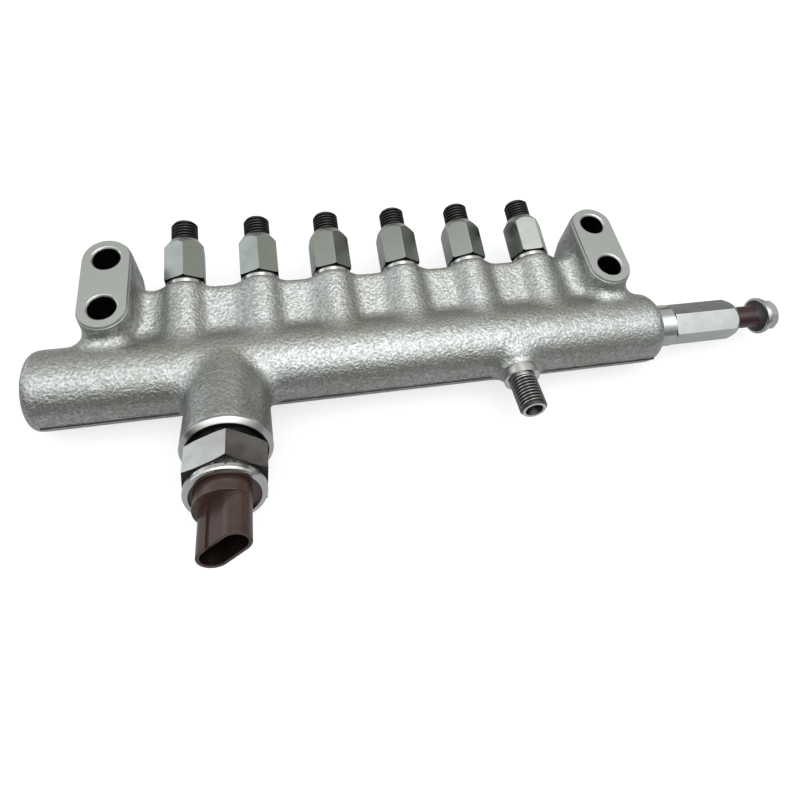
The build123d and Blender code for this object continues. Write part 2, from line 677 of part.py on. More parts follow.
def return_bush():
    """Red-brown spool clamped on the return port, flaring to a round flange."""
    flare_start = (BUSH_NECK_R, LIMITER_HEX_END + BUSH_NECK_LENGTH)
    flare_end = (BUSH_FLANGE_R, BUSH_FLANGE_START)
    outline = Polyline((0, BUSH_END), (0, LIMITER_HEX_END), (BUSH_NECK_R, LIMITER_HEX_END), flare_start)
    outline += TangentArc(flare_start, flare_end, tangent=(0, 1))
    outline += Polyline(flare_end, (BUSH_FLANGE_R, BUSH_END), (0, BUSH_END))
    spool = revolve(Plane.XZ * make_face(outline), Axis.Z)
    return spool - rod(RETURN_THREAD_R + BUSH_CLEARANCE, LIMITER_HEX_END - CUT_PAST, BUSH_END + CUT_PAST)


def return_washer():
    ring = rod(WASHER_R, BUSH_END, WASHER_END)
    return ring - rod(RETURN_THREAD_R + BUSH_CLEARANCE, BUSH_END - CUT_PAST, WASHER_END + CUT_PAST)


def return_bolt():
    """Flanged bolt through washer and bush into the limiter."""
    shank_tip = LIMITER_HEX_END - RETURN_THREAD_DEPTH + SHANK_TIP_GAP
    shank = rod(RETURN_THREAD_R - THREAD_GAP, shank_tip, WASHER_END)
    collar = rod(BOLT_COLLAR_R, WASHER_END, BOLT_HEX_START)
    head = bevelled_hexagon(
        BOLT_HEX_FLATS, BOLT_HEX_START, BOLT_END, BOLT_HEX_TURN, BOLT_HEX_FOOT_R, BOLT_HEX_TOP_R
    )
    return shank + collar + head


def write(name, shape, plane):
    """Writes one piece, or a list of like pieces, as one STEP file."""
    pieces = shape if isinstance(shape, list) else [shape]
    placed = [PART_PLACE * plane.location * piece for piece in pieces]
    solids = [solid for piece in placed for solid in piece.solids()]
    export_step(Compound(children=solids) if len(solids) > 1 else solids[0], f"parts/{name}.step")


def main():
    os.makedirs("parts", exist_ok=True)
    base = Plane.XY
    write("rail_body", rail_body(), base)
    stop = damper_stop()
    piston = damper_piston()
    coil = damper_spring()
    for number, plane in enumerate(OUTLET_PLANES, start=1):
        write(f"damper_body_{number}", damper_body(DAMPER_HEX_TURNS[number - 1]), plane)
        write(f"damper_stop_{number}", stop, plane)
        write(f"damper_piston_{number}", piston, plane)
        write(f"damper_spring_{number}", coil, plane)
    write("sensor_body", sensor_body(), SENSOR_PLANE)
    write("sensor_stem", sensor_stem(), SENSOR_PLANE)
    write("sensor_board", sensor_board(), SENSOR_PLANE)
    write("sensor_o_ring", sensor_o_ring(), SENSOR_PLANE)
    write("sensor_plug", sensor_plug(), SENSOR_PLANE)
    write("sensor_terminals", sensor_terminals(), SENSOR_PLANE)
    write("limiter_body", limiter_body(), LIMITER_PLANE)
    write("limiter_seat", limiter_seat(), LIMITER_PLANE)
    write("limiter_valve", limiter_valve(), LIMITER_PLANE)
    write("limiter_spring", limiter_spring(), LIMITER_PLANE)
    write("limiter_adjuster", limiter_adjuster(), LIMITER_PLANE)
    write("return_bush", return_bush(), LIMITER_PLANE)
    write("return_washer", return_washer(), LIMITER_PLANE)
    write("return_bolt", return_bolt(), LIMITER_PLANE)


main()
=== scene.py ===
import math

import bmesh
import bpy
from mathutils import Euler, Matrix, Vector


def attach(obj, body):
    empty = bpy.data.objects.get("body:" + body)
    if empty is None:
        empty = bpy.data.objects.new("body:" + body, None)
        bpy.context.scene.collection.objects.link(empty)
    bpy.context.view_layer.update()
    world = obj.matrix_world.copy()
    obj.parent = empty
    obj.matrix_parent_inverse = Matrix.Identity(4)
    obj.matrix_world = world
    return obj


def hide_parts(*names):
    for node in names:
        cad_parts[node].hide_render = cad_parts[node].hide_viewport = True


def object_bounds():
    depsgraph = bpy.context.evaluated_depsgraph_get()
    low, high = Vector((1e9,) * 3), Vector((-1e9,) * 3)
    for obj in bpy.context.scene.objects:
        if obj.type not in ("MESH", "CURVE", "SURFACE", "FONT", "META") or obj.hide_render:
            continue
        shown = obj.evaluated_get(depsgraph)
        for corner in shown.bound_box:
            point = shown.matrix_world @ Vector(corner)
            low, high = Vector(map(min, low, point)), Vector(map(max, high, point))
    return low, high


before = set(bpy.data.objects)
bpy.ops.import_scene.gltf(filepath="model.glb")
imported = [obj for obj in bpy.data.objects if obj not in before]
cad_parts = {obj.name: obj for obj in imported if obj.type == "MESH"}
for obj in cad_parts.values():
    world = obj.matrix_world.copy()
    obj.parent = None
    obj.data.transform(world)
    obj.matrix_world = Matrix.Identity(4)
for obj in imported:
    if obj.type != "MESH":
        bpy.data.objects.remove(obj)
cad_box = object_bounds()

# The scene is in metres: sizes given in millimetres are multiplied by MM where they are used.
# X runs along the rail tube, Y towards the outlets, Z out of the pad faces.
MM = 0.001

# The camera stands where the photograph was taken from, its turn in degrees
CAMERA_PLACE = (-0.03961, -0.16464, 0.26101)
CAMERA_TURN = (33.663, -6.053, -10.035)
CAMERA_LENS = 27.93
CAMERA_SHIFT = -0.125

# The rail's driving sizes, in millimetres, from the tube's axis level with the first outlet.
# PART_PLACE moves them to the part's origin, the middle of the bolt holes at the pads' feet.
PART_PLACE = (-82.5, -36.5, 17.0)
TUBE_R = 16.6
TUBE_LEFT = 60.0
TUBE_END = 215.5
PITCH = 33.0
OUTLETS = 6
OUTLET_TILT = 7.5
BOSS_END = 40.3
PORT_R = 7.0
PORT_DEPTH = 14.0
SENSOR_X = 17.2
SENSOR_TILT = 21.0
SENSOR_RIM_START = 43.3
SENSOR_BOSS_R = 17.2
SENSOR_BOSS_END = 45.2
SENSOR_RIM_R = 15.5
SENSOR_SEAT_R = 13.6
SENSOR_PORT_R = 9.6
INLET_X = 142.8
INLET_TILT = 10.0
SHOULDER_START = 17.8
SHOULDER_END = 22.0
SHOULDER_R = 8.0
INLET_END = 37.8
THREAD_R = 6.0
THREAD_PITCH = 1.5
THREAD_DEPTH = 0.85
NIPPLE_CHAMFER = 0.9
NIPPLE_CONE_R = 3.9
NIPPLE_CONE_DEPTH = 4.0
NIPPLE_BORE_R = 1.6
PAD_XS = (-30.0, 195.0)
PAD_HOLE_YS = (24.0, 49.0)
PAD_HOLE_R = 5.5
PAD_HOLE_CHAMFER = 0.8
PAD_LEDGE = 20.0
PAD_TOP = 21.5
PAD_FOOT = -17.0
PAD_R = 9.5
PAD_LIP = 0.7
DAMPER_HEX_END = 64.6
DAMPER_TIP = 74.7
DAMPER_COLLAR_TOP = 42.8
DAMPER_GROOVE_TOP = 43.5
SEAM = 0.5
SENSOR_HEX_START = 48.2
SENSOR_HEX_END = 60.7
SENSOR_HEX_FLATS = 29.0
SENSOR_HEX_TURN = -6.0
SENSOR_HEX_BEVEL = 16.0
SOCKET_LONG = 21.0
SOCKET_WIDE = 11.4
SOCKET_TURN = 40.0
SOCKET_WALL = 1.3
SOCKET_FLOOR = 72.0
LIMITER_GROOVE = (141.6, 142.5)
LIMITER_CORE_R = 8.0
SPOOL_RING_R = 8.0
SPOOL_SEAL_R = 5.6

# The forging's skin is a voxel mesh, grown and shrunk by CLOSING to make the blends
VOXEL = 0.9
CLOSING = 4.0
SMOOTHING = 5
DENTS = 0.1
DENT_SIZE = 3.4
GRAIN_SCALE = 820.0

# The flare at the root of each outlet boss, as (radius, height) from the tube's axis
FLARE = (
    (0, 0),
    (14.9, 0),
    (14.9, 7.4),
    (14.35, 8.3),
    (13.05, 11.3),
    (12.26, 13.8),
    (11.7, 16.1),
    (0, 16.1),
)

# An edge is shaded sharp above these angles, in degrees: on the CAD's own meshes, and once rounded
CAD_EDGE = 20
ROUNDED_EDGE = 35

TUBE_FRAME = Matrix.Translation(Vector(PART_PLACE) * MM)


def leaning_frame(x, side, tilt):
    """A frame on the tube's axis whose Z leans up by tilt degrees from Y (side 1) or -Y (side -1)."""
    angle = math.radians(tilt)
    along = Vector((0, side * math.cos(angle), math.sin(angle)))
    across = Vector((1, 0, 0))
    turn = Matrix((across, along.cross(across), along)).transposed().to_4x4()
    return TUBE_FRAME @ Matrix.Translation((x * MM, 0, 0)) @ turn


OUTLET_FRAMES = [leaning_frame(PITCH * number, 1, OUTLET_TILT) for number in range(OUTLETS)]
SENSOR_FRAME = leaning_frame(SENSOR_X, -1, SENSOR_TILT)
INLET_FRAME = leaning_frame(INLET_X, -1, INLET_TILT)


# Shader node groups

def new_group(name, inputs, outputs):
    """An empty node group with named sockets, given as (name, socket type, default)."""
    tree = bpy.data.node_groups.new(name, "ShaderNodeTree")
    for label, kind, value in inputs:
        socket = tree.interface.new_socket(label, in_out="INPUT", socket_type=kind)
        if value is not None:
            socket.default_value = value
    for label, kind in outputs:
        tree.interface.new_socket(label, in_out="OUTPUT", socket_type=kind)
    return tree, tree.nodes.new("NodeGroupInput"), tree.nodes.new("NodeGroupOutput")


def add(tree, kind, **values):
    """Adds a node and sets its properties and input values by name."""
    node = tree.nodes.new(kind)
    for label, value in values.items():
        if hasattr(node, label):
            setattr(node, label, value)
        else:
            node.inputs[label.replace("_", " ")].default_value = value
    return node


def math_node(tree, operation, first, second=None):
    """A Math node fed by sockets or plain numbers; returns its output."""
    node = add(tree, "ShaderNodeMath", operation=operation)
    for socket, value in zip(node.inputs, (first, second)):
        if value is None:
            continue
        if isinstance(value, (int, float)):
            socket.default_value = value
        else:
            tree.links.new(value, socket)
    return node.outputs[0]


def spread(tree, value, low, high, to_low=0.0, to_high=1.0):
    """Spreads a value's range from low..high to to_low..to_high; returns the output."""
    node = add(tree, "ShaderNodeMapRange")
    node.inputs["From Min"].default_value = low
    node.inputs["From Max"].default_value = high
    node.inputs["To Min"].default_value = to_low
    node.inputs["To Max"].default_value = to_high
    tree.links.new(value, node.inputs["Value"])
    return node.outputs["Result"]


def mix_colour(tree, factor, first, second, blend="MIX"):
    """A Mix node for colours; factor, first and second are sockets or plain values."""
    node = add(tree, "ShaderNodeMix", data_type="RGBA", blend_type=blend)
    for socket, value in ((node.inputs[0], factor), (node.inputs[6], first), (node.inputs[7], second)):
        if isinstance(value, bpy.types.NodeSocket):
            tree.links.new(value, socket)
        elif isinstance(value, (int, float)):
            socket.default_value = value
        else:
            socket.default_value = (*value, 1)
    return node.outputs[2]


def noise(tree, vector, scale, detail=3.0, roughness=0.55):
    """A Noise texture read at a place; scale is a socket or a plain number. Returns its value."""
    node = add(tree, "ShaderNodeTexNoise", Detail=detail, Roughness=roughness)
    tree.links.new(vector, node.inputs["Vector"])
    if isinstance(scale, bpy.types.NodeSocket):
        tree.links.new(scale, node.inputs["Scale"])
    else:
        node.inputs["Scale"].default_value = scale
    return node.outputs["Fac"]


def peened_group():
    """The hammered relief of a shot-blasted forging: dimples a little over a millimetre wide, on waves."""
    tree, entry, leave = new_group(
        "peened_relief",
        (("Vector", "NodeSocketVector", None), ("Grain Scale", "NodeSocketFloat", GRAIN_SCALE)),
        (("Height", "NodeSocketFloat"), ("Sparkle", "NodeSocketFloat")),
    )
    vector, scale = entry.outputs["Vector"], entry.outputs["Grain Scale"]
    grain = noise(tree, vector, scale, detail=2.0, roughness=0.5)
    fine = noise(tree, vector, math_node(tree, "MULTIPLY", scale, 2.3), detail=2.0)
    waves = noise(tree, vector, math_node(tree, "MULTIPLY", scale, 0.3), detail=2.0)
    height = math_node(tree, "ADD", grain, math_node(tree, "MULTIPLY", fine, 0.24))
    height = math_node(tree, "ADD", height, math_node(tree, "MULTIPLY", waves, 0.5))
    tree.links.new(height, leave.inputs["Height"])
    tree.links.new(spread(tree, grain, 0.36, 0.66), leave.inputs["Sparkle"])
    return tree


def turned_group():
    """Fine lathe marks: rings that follow the distance along an axis, fainter in soft patches."""
    tree, entry, leave = new_group(
        "turning_marks",
        (
            ("Vector", "NodeSocketVector", None),
            ("Axis", "NodeSocketVector", (1, 0, 0)),
            ("Mark Scale", "NodeSocketFloat", 5000.0),
        ),
        (("Height", "NodeSocketFloat"), ("Streaks", "NodeSocketFloat")),
    )
    along = add(tree, "ShaderNodeVectorMath", operation="DOT_PRODUCT")
    tree.links.new(entry.outputs["Vector"], along.inputs[0])
    tree.links.new(entry.outputs["Axis"], along.inputs[1])
    place = add(tree, "ShaderNodeCombineXYZ")
    distance = math_node(tree, "MULTIPLY", along.outputs["Value"], entry.outputs["Mark Scale"])
    tree.links.new(distance, place.inputs["X"])
    rings = noise(tree, place.outputs["Vector"], 1.0, detail=2.0)
    patches = noise(tree, entry.outputs["Vector"], 260.0)
    tree.links.new(rings, leave.inputs["Height"])
    streaks = math_node(tree, "MULTIPLY", rings, spread(tree, patches, 0.3, 0.7, 0.5, 1.0))
    tree.links.new(streaks, leave.inputs["Streaks"])
    return tree


def moulded_group():
    """The faint unevenness and fine texture of a moulded plastic skin."""
    tree, entry, leave = new_group(
        "moulded_skin",
        (("Vector", "NodeSocketVector", None),),
        (("Height", "NodeSocketFloat"), ("Mottle", "NodeSocketFloat")),
    )
    fine = noise(tree, entry.outputs["Vector"], 2600.0, detail=2.0)
    slow = noise(tree, entry.outputs["Vector"], 130.0)
    height = math_node(tree, "ADD", math_node(tree, "MULTIPLY", fine, 0.25), slow)
    tree.links.new(height, leave.inputs["Height"])
    tree.links.new(spread(tree, slow, 0.3, 0.7), leave.inputs["Mottle"])
    return tree


GROUPS = {"peened": peened_group(), "turned": turned_group(), "moulded": moulded_group()}


# Materials

def new_material(name, metallic, roughness):
    """A material with its Principled shader and the object coordinates that its pattern reads."""
    material = bpy.data.materials.new(name)
    material.use_nodes = True
    tree = material.node_tree
    shader = tree.nodes["Principled BSDF"]
    shader.inputs["Metallic"].default_value = metallic
    shader.inputs["Roughness"].default_value = roughness
    place = add(tree, "ShaderNodeTexCoord").outputs["Object"]
    return material, tree, shader, place


def placed_group(tree, kind, place, **values):
    """One of the shared node groups, read at the object's coordinates, with input values by name."""
    node = add(tree, "ShaderNodeGroup", node_tree=GROUPS[kind])
    tree.links.new(place, node.inputs["Vector"])
    for label, value in values.items():
        node.inputs[label.replace("_", " ")].default_value = value
    return node


def bump(tree, shader, height, distance):
    """Feeds a height pattern to a shader's normal, distance metres deep."""
    node = add(tree, "ShaderNodeBump", Strength=1.0, Distance=distance)
    tree.links.new(height, node.inputs["Height"])
    tree.links.new(node.outputs["Normal"], shader.inputs["Normal"])


def forged_steel():
    """Shot-blasted forging with a bright zinc plate: hammered, with warm and cool clouds."""
    material, tree, shader, place = new_material("forged_plated_steel", 1.0, 0.4)
    skin = placed_group(tree, "peened", place)
    clouds = spread(tree, noise(tree, place, 38.0), 0.35, 0.65)
    base = mix_colour(tree, clouds, (0.455, 0.46, 0.435), (0.51, 0.52, 0.515))
    hollows = mix_colour(tree, 1.0, base, (0.64, 0.64, 0.61), "MULTIPLY")
    tree.links.new(mix_colour(tree, skin.outputs["Sparkle"], hollows, base), shader.inputs["Base Color"])
    tree.links.new(spread(tree, skin.outputs["Sparkle"], 0.0, 1.0, 0.44, 0.32), shader.inputs["Roughness"])
    bump(tree, shader, skin.outputs["Height"], 0.32 * MM)
    return material


def machined_steel(name, colour, axis, roughness=0.3, mark=0.012):
    """Machined steel with tool marks across the axis, mark millimetres deep, and clouded plating."""
    material, tree, shader, place = new_material(name, 1.0, roughness)
    marks = placed_group(tree, "turned", place, Axis=axis)
    clouds = spread(tree, noise(tree, place, 140.0), 0.3, 0.7)
    darker = tuple(channel * 0.86 for channel in colour)
    base = mix_colour(tree, clouds, darker, colour)
    base = mix_colour(tree, spread(tree, marks.outputs["Streaks"], 0.3, 0.7, 0.0, 0.35), base, darker)
    tree.links.new(base, shader.inputs["Base Color"])
    tree.links.new(spread(tree, clouds, 0.0, 1.0, roughness + 0.06, roughness - 0.05),
                   shader.inputs["Roughness"])
    bump(tree, shader, marks.outputs["Height"], mark * MM)
    return material


def plastic(name, colour, roughness=0.28):
    """Glossy moulded plastic with a slight mottle."""
    material, tree, shader, place = new_material(name, 0.0, roughness)
    skin = placed_group(tree, "moulded", place)
    darker = tuple(channel * 0.7 for channel in colour)
    tree.links.new(mix_colour(tree, skin.outputs["Mottle"], darker, colour), shader.inputs["Base Color"])
    tree.links.new(spread(tree, skin.outputs["Mottle"], 0.0, 1.0, roughness + 0.07, roughness - 0.04),
                   shader.inputs["Roughness"])
    bump(tree, shader, skin.outputs["Height"], 0.03 * MM)
    return material


OUTLET_AXIS = tuple(OUTLET_FRAMES[0].col[2].xyz)
SENSOR_AXIS = tuple(SENSOR_FRAME.col[2].xyz)
INLET_AXIS = tuple(INLET_FRAME.col[2].xyz)
TUBE_AXIS = (1.0, 0.0, 0.0)
MILLING_AXIS = (0.6, 0.8, 0.0)

FORGED = forged_steel()
PAD_STEEL = machined_steel("faced_pad_steel", (0.46, 0.475, 0.455), MILLING_AXIS, 0.4, 0.010)
DAMPER_STEEL = machined_steel("plated_damper_steel", (0.35, 0.37, 0.34), OUTLET_AXIS, 0.24)
BLACK_THREAD = machined_steel("blackened_thread_flank", (0.035, 0.035, 0.033), OUTLET_AXIS, 0.38)
# Lighter crests on the dampers' blackened threads: a painted highlight
CREST_HIGHLIGHT_STEEL = machined_steel("thread_crest_painted_highlight", (0.20, 0.20, 0.195), OUTLET_AXIS, 0.3)
BRIGHT_STEEL = machined_steel("bright_turned_steel", (0.60, 0.60, 0.585), OUTLET_AXIS, 0.2)
# Near-black steel painted into holes, bores, grooves and the gaps under hexagons as shade
PAINTED_SHADE_STEEL = machined_steel("painted_shade_steel", (0.05, 0.05, 0.05), OUTLET_AXIS, 0.4)
INLET_STEEL = machined_steel("bright_inlet_steel", (0.70, 0.70, 0.685), INLET_AXIS, 0.26)
# Darker flanks on the bright inlet thread: painted shade
INLET_FLANK_SHADE = machined_steel("inlet_flank_painted_shade", (0.15, 0.15, 0.145), INLET_AXIS, 0.3)
SENSOR_STEEL = machined_steel("bright_sensor_steel", (0.60, 0.595, 0.58), SENSOR_AXIS, 0.18)
RIM_STEEL = machined_steel("bright_rim_steel", (0.58, 0.575, 0.56), SENSOR_AXIS, 0.26)
LIMITER_STEEL = machined_steel("satin_limiter_steel", (0.56, 0.575, 0.57), TUBE_AXIS, 0.24)
BOLT_STEEL = machined_steel("bright_bolt_steel", (0.60, 0.61, 0.61), TUBE_AXIS, 0.2)
INNER_STEEL = machined_steel("ground_inner_steel", (0.58, 0.58, 0.58), OUTLET_AXIS, 0.22)
SPRING_STEEL = machined_steel("oiled_spring_steel", (0.28, 0.28, 0.29), OUTLET_AXIS, 0.3)
PLUG_PLASTIC = plastic("red_brown_plug_plastic", (0.062, 0.033, 0.027), 0.24)
BUSH_PLASTIC = plastic("dark_red_bush_plastic", (0.035, 0.007, 0.008), 0.22)
# The inside of the plug's socket, painted near-black as shade
SOCKET_SHADE_PLASTIC = plastic("socket_painted_shade_plastic", (0.010, 0.004, 0.0035), 0.4)
SEAL_RUBBER = plastic("black_seal_rubber", (0.02, 0.02, 0.02), 0.6)
BOARD_RESIN = plastic("green_board_resin", (0.03, 0.20, 0.08), 0.35)
TERMINAL_METAL = machined_steel("tinned_terminal_brass", (0.70, 0.67, 0.58), SENSOR_AXIS, 0.25)

# The finishes of the pieces that have several, and the material index of each
RAIL_FINISHES = (FORGED, PAD_STEEL, RIM_STEEL, INLET_STEEL, INLET_FLANK_SHADE, PAINTED_SHADE_STEEL)
SKIN, MILLED, RIM, TURNED, FLANK, DARK = range(6)
DAMPER_FINISHES = (DAMPER_STEEL, BLACK_THREAD, BRIGHT_STEEL, PAINTED_SHADE_STEEL, CREST_HIGHLIGHT_STEEL)
# The fourth damper slot holds the painted shade, the fifth the crests' painted highlight
DAMPER_BODY, DAMPER_FLANK, COLLAR, DAMPER_SHADE, DAMPER_CREST = range(5)
SENSOR_FINISHES = (SENSOR_STEEL, PAINTED_SHADE_STEEL)
PLUG_FINISHES = (PLUG_PLASTIC, SOCKET_SHADE_PLASTIC)
LIMITER_FINISHES = (LIMITER_STEEL, PAINTED_SHADE_STEEL, BOLT_STEEL)
SPOOL_FINISHES = (BUSH_PLASTIC, BOLT_STEEL, SEAL_RUBBER)


# Modelling helpers

def finished(bm, name, materials, smooth_angle=32.0):
    """Turns a bmesh into a scene object with its materials, its edges sharp above an angle."""
    mesh = bpy.data.meshes.new(name)
    bm.to_mesh(mesh)
    bm.free()
    for material in materials:
        mesh.materials.append(material)
    mesh.shade_smooth()
    mesh.set_sharp_from_angle(angle=math.radians(smooth_angle))
    piece = bpy.data.objects.new(name, mesh)
    bpy.context.scene.collection.objects.link(piece)
    return piece


def settle(piece):
    """Applies every modifier of a piece, in order."""
    graph = bpy.context.evaluated_depsgraph_get()
    mesh = bpy.data.meshes.new_from_object(piece.evaluated_get(graph))
    piece.modifiers.clear()
    old = piece.data
    piece.data = mesh
    bpy.data.meshes.remove(old)


def round_edges(piece, width, angle=25.0):
    """Rounds a piece's sharp edges a little."""
    bevel = piece.modifiers.new("round", "BEVEL")
    bevel.width = width * MM
    bevel.segments = 2
    bevel.limit_method = "ANGLE"
    bevel.angle_limit = math.radians(angle)
    settle(piece)


def flat_faces(piece):
    """Lets large faces set the shading of the small rounds beside them, so that they look flat."""
    piece.data.shade_smooth()
    even = piece.modifiers.new("flat_faces", "WEIGHTED_NORMAL")
    even.mode = "FACE_AREA"
    even.weight = 100
    even.keep_sharp = True
    settle(piece)


def merged_copy(node):
    """A bmesh copy of a CAD node's mesh, its loose triangles joined at their corners."""
    bm = bmesh.new()
    bm.from_mesh(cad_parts[node].data)
    bmesh.ops.remove_doubles(bm, verts=bm.verts, dist=0.002 * MM)
    return bm


def lathe(profile, steps=96, material=0):
    """A closed solid turned round Z from its half profile of (radius, height) in millimetres."""
    bm = bmesh.new()
    points = [bm.verts.new((radius * MM, 0, height * MM)) for radius, height in profile]
    edges = [bm.edges.new((points[k], points[(k + 1) % len(points)])) for k in range(len(points))]
    bmesh.ops.spin(bm, geom=points + edges, cent=(0, 0, 0), axis=(0, 0, 1),
                   angle=math.tau, steps=steps, use_merge=True)
    bmesh.ops.remove_doubles(bm, verts=bm.verts, dist=0.0005 * MM)
    bmesh.ops.recalc_face_normals(bm, faces=bm.faces)
    for face in bm.faces:
        face.material_index = material
    return bm


def joined(*parts):
    """One bmesh that holds the shapes of several, which are then freed."""
    whole = bmesh.new()
    for part in parts:
        mesh = bpy.data.meshes.new("part")
        part.to_mesh(mesh)
        part.free()
        whole.from_mesh(mesh)
        bpy.data.meshes.remove(mesh)
    return whole


def mesh_of(piece):
    """A bmesh of a scene piece, which is then removed."""
    bm = bmesh.new()
    bm.from_mesh(piece.data)
    bpy.data.objects.remove(piece)
    return bm


def moved(bm, matrix):
    """Moves a whole bmesh by a matrix and returns it."""
    bmesh.ops.transform(bm, matrix=matrix, verts=bm.verts)
    return bm


def cut(piece, cutter_bm, operation="DIFFERENCE"):
    """Cuts, joins or intersects a piece with a solid, whose faces keep their material index."""
    cutter = finished(cutter_bm, "cutter", list(piece.data.materials))
    modifier = piece.modifiers.new("cut", "BOOLEAN")
    modifier.operation = operation
    modifier.solver = "EXACT"
    modifier.object = cutter
    settle(piece)
    mesh = cutter.data
    bpy.data.objects.remove(cutter)
    bpy.data.meshes.remove(mesh)


def sliced(bm, height, side=1, clear_outer=False):
    """Slices a bmesh level at a height in millimetres and returns the cut's edges.

    With clear_outer, what lies above goes, or what lies below where side is -1."""
    cut_through = bmesh.ops.bisect_plane(
        bm, geom=bm.verts[:] + bm.edges[:] + bm.faces[:], dist=1e-8,
        plane_co=(0, 0, height * MM), plane_no=(0, 0, side), clear_outer=clear_outer,
    )
    return [item for item in cut_through["geom_cut"] if isinstance(item, bmesh.types.BMEdge)]


def screw_thread(start, end, steps=48):
    """A solid with a real helical thread along Z, cut flat at both ends and bevelled at its tip."""
    root = THREAD_R - THREAD_DEPTH
    bm = bmesh.new()
    tooth = ((root, 0.0), (root, 0.1), (THREAD_R, 0.44), (THREAD_R, 0.58), (root, 0.92), (root, 1.0))
    below = start - 2 * THREAD_PITCH
    points = []
    for radius, share in tooth:
        points.append(bm.verts.new((radius * MM, 0, (below + share * THREAD_PITCH) * MM)))
    edges = [bm.edges.new(pair) for pair in zip(points, points[1:])]
    turns = math.ceil((end - start) / THREAD_PITCH) + 3
    rise = THREAD_PITCH * MM / steps
    bmesh.ops.spin(bm, geom=points + edges, cent=(0, 0, 0), axis=(0, 0, 1), dvec=(0, 0, rise),
                   angle=math.tau * turns, steps=steps * turns)
    bmesh.ops.remove_doubles(bm, verts=bm.verts, dist=0.001 * MM)
    for height, side in ((end, 1), (start, -1)):
        bmesh.ops.edgeloop_fill(bm, edges=sliced(bm, height, side, clear_outer=True))
    bmesh.ops.recalc_face_normals(bm, faces=bm.faces)
    bevel_start = (end - NIPPLE_CHAMFER) * MM
    for vert in bm.verts:
        allowed = THREAD_R * MM - max(0.0, vert.co.z - bevel_start)
        radius = math.hypot(vert.co.x, vert.co.y)
        if radius > allowed:
            vert.co.x *= allowed / radius
            vert.co.y *= allowed / radius
    return bm


def nipple(start, end, name, flank, crest, dark):
    """A threaded nipple with its bore and the cone that a pipe's end seals on.

    flank, crest and dark are the material indices of the thread's flanks, its crests and the bore; the bore
    is painted dark as shade, the inlet's darker flanks are painted shade and the dampers' lighter crests a
    painted highlight."""
    thread = screw_thread(start, end)
    # Crests and flanks get different finishes: painted highlight on the dampers' crests, painted shade on
    # the inlet's flanks
    for face in thread.faces:
        middle = face.calc_center_median()
        outer = math.hypot(middle.x, middle.y) > (THREAD_R - 0.12) * MM or abs(face.normal.z) > 0.99
        face.material_index = crest if outer else flank
    piece = finished(thread, name, [FORGED] * len(RAIL_FINISHES))
    # The bore is painted dark as shade
    bore = lathe((
        (0, start - 1),
        (NIPPLE_BORE_R, start - 1),
        (NIPPLE_BORE_R, end - NIPPLE_CONE_DEPTH),
        (NIPPLE_CONE_R, end),
        (NIPPLE_CONE_R, end + 1),
        (0, end + 1),
    ), steps=64, material=dark)
    cut(piece, bore)
    return mesh_of(piece)


def slot_outline(bm, radius, centre, height):
    """A flat oval face, long along Y, whose round ends sit on the pad's two holes."""
    ring = bmesh.ops.create_circle(bm, cap_ends=True, segments=96, radius=radius * MM)
    half = (PAD_HOLE_YS[1] - PAD_HOLE_YS[0]) / 2
    for vert in ring["verts"]:
        vert.co.y += math.copysign(half, vert.co.y) * MM
        vert.co += Vector(centre) * MM + Vector((0, 0, height * MM))
    return ring["verts"][0].link_faces[0]


# Pieces

def rod(radius, low, high, place, material=SKIN):
    """A plain solid rod between two heights of a frame."""
    profile = ((0, low), (radius, low), (radius, high), (0, high))
    return moved(lathe(profile, steps=64, material=material), place)


def fillers():
    """What closes the CAD rail's drillings before its skin is made, with the outlet bosses' flares."""
    solids = [block((-TUBE_LEFT + 8, -7, -7), (TUBE_END - 8, 7, 7), SKIN)]
    for place in OUTLET_FRAMES:
        solids.append(rod(PORT_R + 1, 5, BOSS_END - 0.3, place))
        solids.append(moved(lathe(FLARE, steps=64), place))
    solids.append(rod(12, 5, SENSOR_RIM_START, SENSOR_FRAME))
    for place in hole_frames():
        solids.append(rod(PAD_HOLE_R + 1.5, PAD_FOOT + 1, PAD_LEDGE - 1, place))
    return joined(*solids)


def hole_frames():
    """Where the four bolt holes stand."""
    return [TUBE_FRAME @ Matrix.Translation((x * MM, y * MM, 0)) for x in PAD_XS for y in PAD_HOLE_YS]


def remesh(piece, name):
    """Remakes a piece's mesh in even voxels."""
    modifier = piece.modifiers.new(name, "REMESH")
    modifier.mode = "VOXEL"
    modifier.voxel_size = VOXEL * MM


def push(piece, name, distance):
    """Moves a piece's skin outwards by a distance in millimetres, or inwards where it is negative."""
    modifier = piece.modifiers.new(name, "DISPLACE")
    modifier.mid_level = 0
    modifier.strength = distance * MM


def relax(piece, name):
    """Smooths a piece's skin."""
    modifier = piece.modifiers.new(name, "SMOOTH")
    modifier.factor = 0.5
    modifier.iterations = SMOOTHING


def forging():
    """The forging: the CAD rail with the dies' wide blends, then its machined faces cut flat."""
    solids = joined(merged_copy("rail_body"), fillers())
    piece = finished(solids, "rail_forging", RAIL_FINISHES)
    remesh(piece, "skin")
    push(piece, "grow", CLOSING)
    remesh(piece, "close")
    relax(piece, "even")
    push(piece, "shrink", -CLOSING)
    remesh(piece, "again")
    relax(piece, "soft")
    dents = piece.modifiers.new("dents", "DISPLACE")
    dents.texture = bpy.data.textures.new("die_dents", "CLOUDS")
    dents.texture.noise_scale = DENT_SIZE * MM
    dents.texture.noise_depth = 1
    dents.mid_level = 0.5
    dents.strength = DENTS * MM
    settle(piece)
    cut(piece, machining())
    # The bolt holes' walls are painted dark as shade
    cut(piece, joined(*[rod(PAD_HOLE_R, PAD_FOOT - 2, PAD_TOP, place, DARK) for place in hole_frames()]))
    return piece


